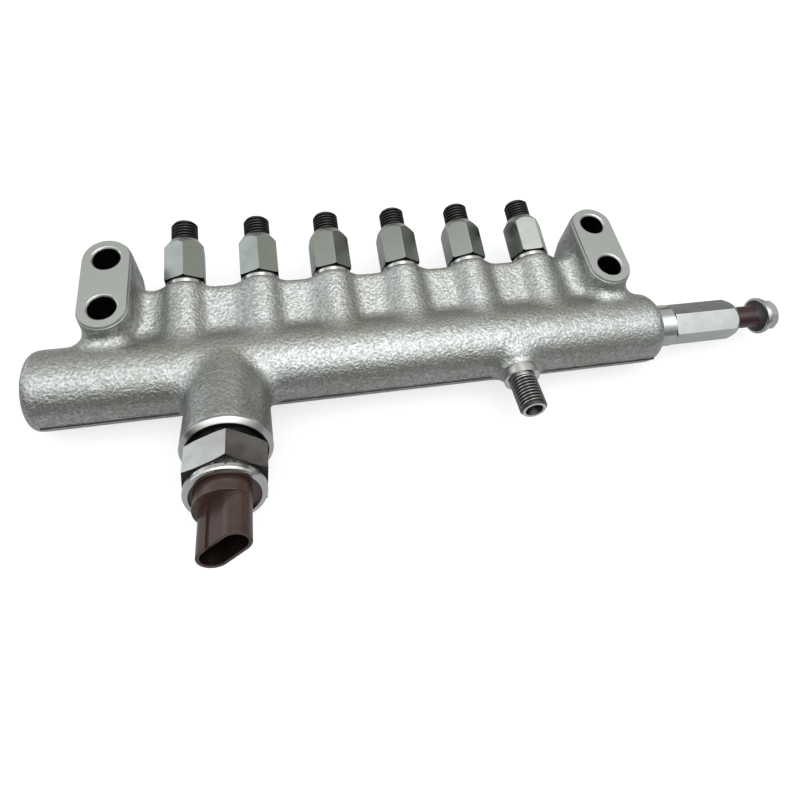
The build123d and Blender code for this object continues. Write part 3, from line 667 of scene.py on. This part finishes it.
def block(low, high, material=MILLED):
    """A box between two corners in millimetres from the tube's axis."""
    bm = bmesh.new()
    bmesh.ops.create_cube(bm, size=1)
    size = Vector(high) - Vector(low)
    middle = (Vector(high) + Vector(low)) / 2
    moved(bm, TUBE_FRAME @ Matrix.Translation(middle * MM) @ Matrix.Diagonal((*(size * MM), 1)))
    for face in bm.faces:
        face.material_index = material
    return bm


def machining():
    """What milling takes off the forging: pad tops and feet, boss faces, ports, sensor face, inlet stub."""
    room = 14.0
    face_r = 13.5
    solids = []
    for x in PAD_XS:
        near, far = PAD_HOLE_YS[0] - room, PAD_HOLE_YS[1] + room
        solids.append(block((x - room, near, PAD_LEDGE - 0.1), (x + room, far, PAD_TOP + 5)))
        solids.append(block((x - room, near + 8, PAD_FOOT - 5), (x + room, far, PAD_FOOT + 0.05)))
    for place in OUTLET_FRAMES:
        face = (
            (0, BOSS_END - PORT_DEPTH),
            (PORT_R, BOSS_END - PORT_DEPTH),
            (PORT_R, BOSS_END - 0.1),
            (face_r, BOSS_END - 0.1),
            (face_r, BOSS_END + 6),
            (0, BOSS_END + 6),
        )
        solids.append(moved(lathe(face, steps=64, material=MILLED), place))
    seat = (
        (0, 30),
        (SENSOR_PORT_R, 30),
        (SENSOR_PORT_R, SENSOR_RIM_START),
        (21, SENSOR_RIM_START),
        (21, 52),
        (0, 52),
    )
    solids.append(moved(lathe(seat, steps=64, material=MILLED), SENSOR_FRAME))
    solids.append(rod(11, SHOULDER_START, 42, INLET_FRAME, MILLED))
    end = TUBE_FRAME @ Matrix.Translation((TUBE_END * MM, 0, 0)) @ Matrix.Rotation(math.radians(90), 4, "Y")
    solids.append(rod(8, -18, 2, end, MILLED))
    return joined(*solids)


def pad_faces():
    """The milled faces of the two pads, a step above the ledge that the mill leaves round them."""
    middle = (PAD_HOLE_YS[0] + PAD_HOLE_YS[1]) / 2
    steps = ((2.4, PAD_LIP + 0.5), (0.6, 0.0), (0.2, -PAD_LIP + 0.3), (1.3, -0.3))
    bm = bmesh.new()
    for x in PAD_XS:
        top = slot_outline(bm, PAD_R - 0.5, (x, middle, 0), PAD_LEDGE - 3)
        for rise, spread_out in steps:
            top = lifted_face(bm, top, rise, spread_out)
    bmesh.ops.holes_fill(bm, edges=bm.edges, sides=0)
    bmesh.ops.recalc_face_normals(bm, faces=bm.faces)
    for face in bm.faces:
        face.material_index = MILLED
    piece = finished(moved(bm, TUBE_FRAME), "pad_faces", RAIL_FINISHES, 25)
    holes = []
    wide = PAD_HOLE_R + PAD_HOLE_CHAMFER
    for place in hole_frames():
        hole = lathe((
            (0, PAD_FOOT - 2),
            (PAD_HOLE_R, PAD_FOOT - 2),
            (PAD_HOLE_R, PAD_TOP - PAD_HOLE_CHAMFER),
            (wide, PAD_TOP),
            (wide, PAD_TOP + 2),
            (0, PAD_TOP + 2),
        ), steps=96, material=RIM)
        # The holes' walls are painted dark as shade; their chamfers stay bright
        for face in hole.faces:
            if abs(face.normal.z) < 0.3:
                face.material_index = DARK
        holes.append(moved(hole, place))
    cut(piece, joined(*holes))
    round_edges(piece, width=0.16)
    return piece


def lifted_face(bm, face, rise, spread_out):
    """Extrudes a flat slot face up by rise and grows it sideways by spread_out; returns the new face."""
    lifted = bmesh.ops.extrude_face_region(bm, geom=[face])
    top = [item for item in lifted["geom"] if isinstance(item, bmesh.types.BMFace)][0]
    bmesh.ops.delete(bm, geom=[face], context="FACES_ONLY")
    middle = top.calc_center_median()
    half = (PAD_HOLE_YS[1] - PAD_HOLE_YS[0]) / 2 * MM
    for vert in top.verts:
        centre = middle.y + math.copysign(half, vert.co.y - middle.y)
        outward = Vector((vert.co.x - middle.x, vert.co.y - centre, 0)).normalized()
        vert.co += outward * spread_out * MM + Vector((0, 0, rise * MM))
    return top


def sensor_rim():
    """The turned rim of the sensor boss, with the seat that the sensor screws down on painted dark as
    shade.
    """
    rim = lathe((
        (SENSOR_PORT_R, SENSOR_RIM_START - 3),
        (SENSOR_BOSS_R - 0.5, SENSOR_RIM_START - 3),
        (SENSOR_BOSS_R - 0.1, SENSOR_RIM_START - 0.3),
        (SENSOR_BOSS_R, SENSOR_RIM_START),
        (SENSOR_BOSS_R - 0.15, SENSOR_RIM_START + 0.4),
        (SENSOR_RIM_R + 0.3, SENSOR_BOSS_END - 0.35),
        (SENSOR_RIM_R, SENSOR_BOSS_END - 0.1),
        (SENSOR_RIM_R - 0.3, SENSOR_BOSS_END),
        (SENSOR_SEAT_R, SENSOR_BOSS_END),
        (SENSOR_SEAT_R - 0.3, SENSOR_BOSS_END - 0.2),
        (SENSOR_PORT_R, SENSOR_BOSS_END - 0.2),
    ), steps=128, material=RIM)
    # The seat under the hexagon is painted dark as shade
    for face in rim.faces:
        if face.calc_center_median().z > (SENSOR_BOSS_END - 0.08) * MM:
            face.material_index = DARK
    return moved(rim, SENSOR_FRAME)


def inlet_end():
    """The turned shoulder of the inlet, its undercut and the threaded nipple."""
    shoulder = lathe((
        (NIPPLE_BORE_R, SHOULDER_START - 3),
        (SHOULDER_R - 0.2, SHOULDER_START - 3),
        (SHOULDER_R, SHOULDER_START),
        (SHOULDER_R, SHOULDER_END - 0.5),
        (SHOULDER_R - 0.5, SHOULDER_END),
        (THREAD_R - THREAD_DEPTH, SHOULDER_END),
        (THREAD_R - THREAD_DEPTH, SHOULDER_END + 1.2),
        (NIPPLE_BORE_R, SHOULDER_END + 1.2),
    ), steps=96, material=TURNED)
    # The inlet's thread flanks and its bore are painted dark as shade
    thread = nipple(SHOULDER_END + 0.6, INLET_END, "inlet_nipple", FLANK, TURNED, DARK)
    return moved(joined(shoulder, thread), INLET_FRAME)


def parting_line():
    """The low, uneven flash line that the forging dies leave along the front of the tube, its upper flank
    painted dark as a shadow line.
    """
    clear_ends = 5.0
    length = TUBE_LEFT + TUBE_END - 2 * clear_ends
    bm = bmesh.new()
    bmesh.ops.create_cone(bm, cap_ends=True, segments=16, radius1=MM, radius2=MM, depth=length * MM)
    cuts = [edge for edge in bm.edges if abs(edge.verts[0].co.z - edge.verts[1].co.z) > MM]
    bmesh.ops.subdivide_edges(bm, edges=cuts, cuts=120)
    for vert in bm.verts:
        wave = math.sin(vert.co.z * 310) + 0.6 * math.sin(vert.co.z * 830 + 1)
        vert.co.x *= 0.60 + 0.06 * wave
        vert.co.y *= 0.75 + 0.05 * wave
    turn = Matrix.Rotation(math.radians(90), 4, "Y")
    middle = Vector(((TUBE_END - TUBE_LEFT) / 2 * MM, -(TUBE_R - 0.02) * MM, 0))
    moved(bm, TUBE_FRAME @ Matrix.Translation(middle) @ turn)
    # The ridge's upper flank is painted dark as a shadow line
    for face in bm.faces:
        face.material_index = DARK if face.normal.z > 0.5 else SKIN
    return bm


def rail():
    """The whole rail body: forging, flash line, milled pad faces, sensor rim and inlet."""
    whole = joined(mesh_of(forging()), mesh_of(pad_faces()), sensor_rim(), inlet_end(), parting_line())
    piece = finished(whole, "rail_forging", RAIL_FINISHES, ROUNDED_EDGE)
    flat_faces(piece)
    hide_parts("rail_body")
    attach(piece, "rail")


def flatten(bm):
    """Dissolves the loose triangles of flat faces into whole faces."""
    bmesh.ops.dissolve_limit(bm, angle_limit=math.radians(1.5), verts=bm.verts, edges=bm.edges)


def damper(number, place, thread):
    """One flow damper: the CAD's hexagon and bright collar, with the groove, the hexagon's underside and
    the boss end painted dark as shade, and the outlet thread given.
    """
    bm = merged_copy(f"damper_body_{number}")
    moved(bm, place.inverted())
    bmesh.ops.bridge_loops(bm, edges=sliced(bm, DAMPER_HEX_END + 0.2, clear_outer=True))
    flatten(bm)
    for height in (BOSS_END + SEAM, DAMPER_COLLAR_TOP - SEAM):
        sliced(bm, height)
    # Faces below the collar, in the groove and under the hexagon are painted dark as shade
    for face in bm.faces:
        height = face.calc_center_median().z / MM
        if height < BOSS_END + SEAM:
            face.material_index = DAMPER_SHADE
        elif height < DAMPER_COLLAR_TOP - SEAM:
            face.material_index = COLLAR
        elif height < DAMPER_GROOVE_TOP + 1.5 and (height < DAMPER_GROOVE_TOP or face.normal.z < -0.3):
            face.material_index = DAMPER_SHADE
        else:
            face.material_index = DAMPER_BODY
    housing = finished(moved(bm, place), "damper_housing", DAMPER_FINISHES, CAD_EDGE)
    round_edges(housing, width=0.14)
    whole = joined(moved(thread.copy(), place), mesh_of(housing))
    piece = finished(whole, f"flow_damper_{number}", DAMPER_FINISHES, ROUNDED_EDGE)
    flat_faces(piece)
    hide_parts(f"damper_body_{number}")
    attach(piece, "rail")


def dampers():
    """The six flow dampers, which share one thread."""
    # The dampers' thread crests are a painted highlight and their bores painted dark as shade
    thread = nipple(DAMPER_HEX_END - 0.5, DAMPER_TIP, "damper_nipple",
                    DAMPER_FLANK, DAMPER_CREST, DAMPER_SHADE)
    for number, place in enumerate(OUTLET_FRAMES, start=1):
        damper(number, place, thread)
    thread.free()


def settle_piece(piece, node, width):
    """Rounds a piece's sharp edges, width millimetres wide, and lets it stand for its plain CAD node."""
    round_edges(piece, width)
    piece.data.set_sharp_from_angle(angle=math.radians(ROUNDED_EDGE))
    flat_faces(piece)
    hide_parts(node)
    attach(piece, "rail")


def edged_copy(node, name, material, width):
    """A CAD piece in one finish with its sharp edges rounded."""
    bm = merged_copy(node)
    flatten(bm)
    settle_piece(finished(bm, name, (material,), CAD_EDGE), node, width)


def sensor_housing():
    """The sensor's steel housing, its hexagon made with the short bevel that a bar end is turned to, the
    faces under the hexagon and on its upper bevel painted dark as shade.
    """
    dark = 1
    bm = bmesh.new()
    corner_r = SENSOR_HEX_FLATS / math.sqrt(3) + 0.02
    base = bmesh.ops.create_circle(bm, cap_ends=True, segments=6, radius=corner_r * MM)["verts"]
    turn = Matrix.Rotation(math.radians(SENSOR_HEX_TURN), 4, "Z")
    moved(bm, Matrix.Translation((0, 0, SENSOR_HEX_START * MM)) @ turn)
    lifted = bmesh.ops.extrude_face_region(bm, geom=[base[0].link_faces[0]])
    top = [item for item in lifted["geom"] if isinstance(item, bmesh.types.BMVert)]
    bmesh.ops.translate(bm, verts=top, vec=(0, 0, (SENSOR_HEX_END - SENSOR_HEX_START) * MM))
    bmesh.ops.recalc_face_normals(bm, faces=bm.faces)
    hexagon = finished(bm, "hexagon", SENSOR_FINISHES)
    flat_r = SENSOR_HEX_FLATS / 2 + 0.5
    short = (corner_r - SENSOR_HEX_FLATS / 2) * math.tan(math.radians(SENSOR_HEX_BEVEL))
    cut(hexagon, lathe((
        (0, SENSOR_HEX_START),
        (flat_r, SENSOR_HEX_START),
        (corner_r + 0.2, SENSOR_HEX_START + short),
        (corner_r + 0.2, SENSOR_HEX_END - short),
        (flat_r, SENSOR_HEX_END),
        (0, SENSOR_HEX_END),
    ), steps=96), "INTERSECT")
    whole = moved(merged_copy("sensor_body"), SENSOR_FRAME.inverted())
    flatten(whole)
    piece = finished(whole, "sensor_housing", SENSOR_FINISHES, CAD_EDGE)
    cut(piece, mesh_of(hexagon), "UNION")
    round_edges(piece, width=0.16)
    bm = mesh_of(piece)
    # Faces under the hexagon and on its upper bevel are painted dark as shade
    for face in bm.faces:
        height = face.calc_center_median().z / MM
        under = height < SENSOR_HEX_START + 0.8 and (height < SENSOR_HEX_START or face.normal.z < -0.3)
        above = SENSOR_HEX_END - 1.2 < height < SENSOR_HEX_END + 0.3 and face.normal.z > 0.3
        if under or above:
            face.material_index = dark
    piece = finished(moved(bm, SENSOR_FRAME), "sensor_housing", SENSOR_FINISHES, ROUNDED_EDGE)
    flat_faces(piece)
    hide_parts("sensor_body")
    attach(piece, "rail")


def plug():
    """The moulded plug, the inside of its socket painted dark as shade."""
    inside = 1
    bm = moved(merged_copy("sensor_plug"), SENSOR_FRAME.inverted())
    flatten(bm)
    turn = Matrix.Rotation(math.radians(-SOCKET_TURN), 4, "Z")
    # Faces inside the socket are painted dark as shade
    for face in bm.faces:
        middle = turn @ face.calc_center_median() / MM
        across = abs(middle.y) < SOCKET_WIDE / 2 - SOCKET_WALL + 0.1
        along = abs(middle.x) < SOCKET_LONG / 2 - SOCKET_WALL + 0.1
        inward = face.normal.dot(face.calc_center_median()) < face.normal.z * middle.z * MM
        floor_face = face.normal.z > 0.5 and middle.z < SOCKET_FLOOR + 1
        if across and along and middle.z > SOCKET_FLOOR - 0.1 and (inward or floor_face):
            face.material_index = inside
    piece = finished(moved(bm, SENSOR_FRAME), "sensor_socket", PLUG_FINISHES, CAD_EDGE)
    settle_piece(piece, "sensor_plug", width=0.18)


def limiter():
    """The limiter's housing with the groove behind its collar painted dark as shade, and the bright end
    before it.
    """
    groove, bright = 1, 2
    bm = merged_copy("limiter_body")
    flatten(bm)
    # The groove's faces are painted dark as shade
    for face in bm.faces:
        middle = face.calc_center_median() / MM - Vector(PART_PLACE)
        along = middle.x + PART_PLACE[0]
        radius = math.hypot(middle.y, middle.z)
        if LIMITER_GROOVE[0] - 0.1 < along < LIMITER_GROOVE[1] + 0.1 and radius > LIMITER_CORE_R:
            face.material_index = groove
        elif along < LIMITER_GROOVE[0]:
            face.material_index = bright
    piece = finished(bm, "limiter_housing", LIMITER_FINISHES, CAD_EDGE)
    settle_piece(piece, "limiter_body", width=0.2)


def return_spool():
    """The moulded spool of the return connection, with its steel edge ring and the seal inside that."""
    ring, seal = 1, 2
    bm = merged_copy("return_bush")
    flatten(bm)
    for face in bm.faces:
        middle = face.calc_center_median() - Vector(PART_PLACE) * MM
        radius = math.hypot(middle.y, middle.z) / MM
        if radius > SPOOL_RING_R:
            face.material_index = ring
        elif radius > SPOOL_SEAL_R:
            face.material_index = seal
    piece = finished(bm, "return_spool", SPOOL_FINISHES, CAD_EDGE)
    settle_piece(piece, "return_bush", width=0.2)


def dress(node, material):
    """Gives a CAD node its finish."""
    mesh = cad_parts[node].data
    mesh.materials.clear()
    mesh.materials.append(material)


# Camera, light and floor

def camera():
    """The camera, fitted to the photograph's frame."""
    data = bpy.data.cameras.new("camera")
    data.sensor_width = 36
    data.lens = CAMERA_LENS
    data.shift_y = CAMERA_SHIFT
    data.clip_start = 0.01
    eye = bpy.data.objects.new("camera", data)
    eye.location = CAMERA_PLACE
    eye.rotation_euler = Euler([math.radians(angle) for angle in CAMERA_TURN])
    bpy.context.scene.collection.objects.link(eye)
    bpy.context.scene.camera = eye


def area_lamp(name, place, target, size, power):
    """A rectangular lamp of some watts that looks at a target."""
    data = bpy.data.lights.new(name, "AREA")
    data.shape = "RECTANGLE"
    data.size, data.size_y = size
    data.energy = power
    lamp = bpy.data.objects.new(name, data)
    lamp.location = place
    lamp.rotation_euler = (Vector(place) - Vector(target)).to_track_quat("Z", "Y").to_euler()
    bpy.context.scene.collection.objects.link(lamp)


def band(tree, value, low, high):
    """A soft step from 0 to 1 as a value goes from low to high."""
    node = add(tree, "ShaderNodeMapRange", interpolation_type="SMOOTHSTEP")
    node.inputs["From Min"].default_value = low
    node.inputs["From Max"].default_value = high
    tree.links.new(value, node.inputs["Value"])
    return node.outputs["Result"]


def softbox(tree, direction, middle, squeeze, narrow, wide):
    """A mask that is 1 about a direction, within narrow degrees, and fades to 0 at wide degrees.

    It is long along X where squeeze is under 1."""
    squeezed = add(tree, "ShaderNodeVectorMath", operation="MULTIPLY")
    tree.links.new(direction, squeezed.inputs[0])
    squeezed.inputs[1].default_value = (squeeze, 1, 1)
    unit = add(tree, "ShaderNodeVectorMath", operation="NORMALIZE")
    tree.links.new(squeezed.outputs["Vector"], unit.inputs[0])
    nearness = add(tree, "ShaderNodeVectorMath", operation="DOT_PRODUCT")
    tree.links.new(unit.outputs["Vector"], nearness.inputs[0])
    nearness.inputs[1].default_value = Vector(middle).normalized()
    outer, inner = math.cos(math.radians(wide)), math.cos(math.radians(narrow))
    return band(tree, nearness.outputs["Value"], outer, inner)


def white_rays(tree, path):
    """A mask of the rays that should meet plain white: the camera's own and those through clear things."""
    return math_node(tree, "MAXIMUM", path.outputs["Is Camera Ray"], path.outputs["Is Transmission Ray"])


def studio():
    """The light: a long softbox overhead, a softer one at the left, a graded room and one lamp."""
    scene = bpy.context.scene
    scene.view_settings.view_transform = "Standard"
    world = bpy.data.worlds.new("studio")
    scene.world = world
    world.use_nodes = True
    tree = world.node_tree
    background = tree.nodes["Background"]
    direction = add(tree, "ShaderNodeTexCoord").outputs["Generated"]
    parts = add(tree, "ShaderNodeSeparateXYZ")
    tree.links.new(direction, parts.inputs[0])
    leaning = math_node(tree, "MULTIPLY", parts.outputs["Y"], 0.22)
    upper = band(tree, math_node(tree, "ADD", parts.outputs["Z"], leaning), 0.10, 0.45)
    sideways = band(tree, parts.outputs["X"], -0.25, 0.60)
    low = mix_colour(tree, sideways, (0.015, 0.015, 0.012), (0.24, 0.25, 0.25))
    glow = mix_colour(tree, upper, low, (0.64, 0.65, 0.60))
    # Each patch's direction, squeeze, inner and outer angle, and colour: overhead, left, dark corner
    patches = (
        ((0.00, -0.14, 1.00), 0.41, 12, 38, (2.03, 2.10, 2.20)),
        ((-0.86, 0.44, 0.22), 1.0, 14, 32, (1.30, 1.36, 1.42)),
        ((0.68, 0.73, -0.02), 1.0, 6, 24, (0.08, 0.06, 0.05)),
    )
    for middle, squeeze, narrow, wide, level in patches:
        glow = mix_colour(tree, softbox(tree, direction, middle, squeeze, narrow, wide), glow, level)
    seen = white_rays(tree, add(tree, "ShaderNodeLightPath"))
    tree.links.new(mix_colour(tree, seen, glow, (1, 1, 1)), background.inputs["Color"])
    middle = (Vector(cad_box[0]) + Vector(cad_box[1])) / 2
    area_lamp("overhead", middle + Vector((0.08, 0.0, 0.66)), middle, (1.2, 0.34), 1.2)


def floor():
    """A pale floor with the object's soft shadow on it, which the metal mirrors darker than it looks."""
    glow, in_metal = 0.70, 0.2
    bm = bmesh.new()
    bmesh.ops.create_grid(bm, x_segments=1, y_segments=1, size=3.0)
    moved(bm, Matrix.Translation((0, 0, cad_box[0][2])))
    material, tree, shader, place = new_material("pale_floor", 0.0, 0.9)
    speckle = spread(tree, noise(tree, place, 300.0, detail=2.0), 0.3, 0.7)
    paint = mix_colour(tree, speckle, (0.34, 0.34, 0.34), (0.36, 0.36, 0.36))
    tree.links.new(paint, shader.inputs["Base Color"])
    shader.inputs["Specular IOR Level"].default_value = 0.0
    shader.inputs["Emission Color"].default_value = (1, 1, 1, 1)
    path = add(tree, "ShaderNodeLightPath")
    mirrored = math_node(tree, "MULTIPLY", path.outputs["Is Glossy Ray"], in_metal)
    seen = math_node(tree, "MAXIMUM", white_rays(tree, path), mirrored)
    tree.links.new(math_node(tree, "MULTIPLY", seen, glow), shader.inputs["Emission Strength"])
    finished(bm, "floor", (material,))


camera()
studio()
floor()
rail()
dampers()
sensor_housing()
plug()
limiter()
return_spool()
edged_copy("return_washer", "return_ring", BOLT_STEEL, width=0.15)
edged_copy("return_bolt", "return_screw", BOLT_STEEL, width=0.15)
for number in range(1, OUTLETS + 1):
    dress(f"damper_stop_{number}", INNER_STEEL)
    dress(f"damper_piston_{number}", INNER_STEEL)
    dress(f"damper_spring_{number}", SPRING_STEEL)
for inner in ("sensor_stem", "limiter_seat", "limiter_valve", "limiter_adjuster"):
    dress(inner, INNER_STEEL)
dress("limiter_spring", SPRING_STEEL)
dress("sensor_board", BOARD_RESIN)
dress("sensor_o_ring", SEAL_RUBBER)
dress("sensor_terminals", TERMINAL_METAL)
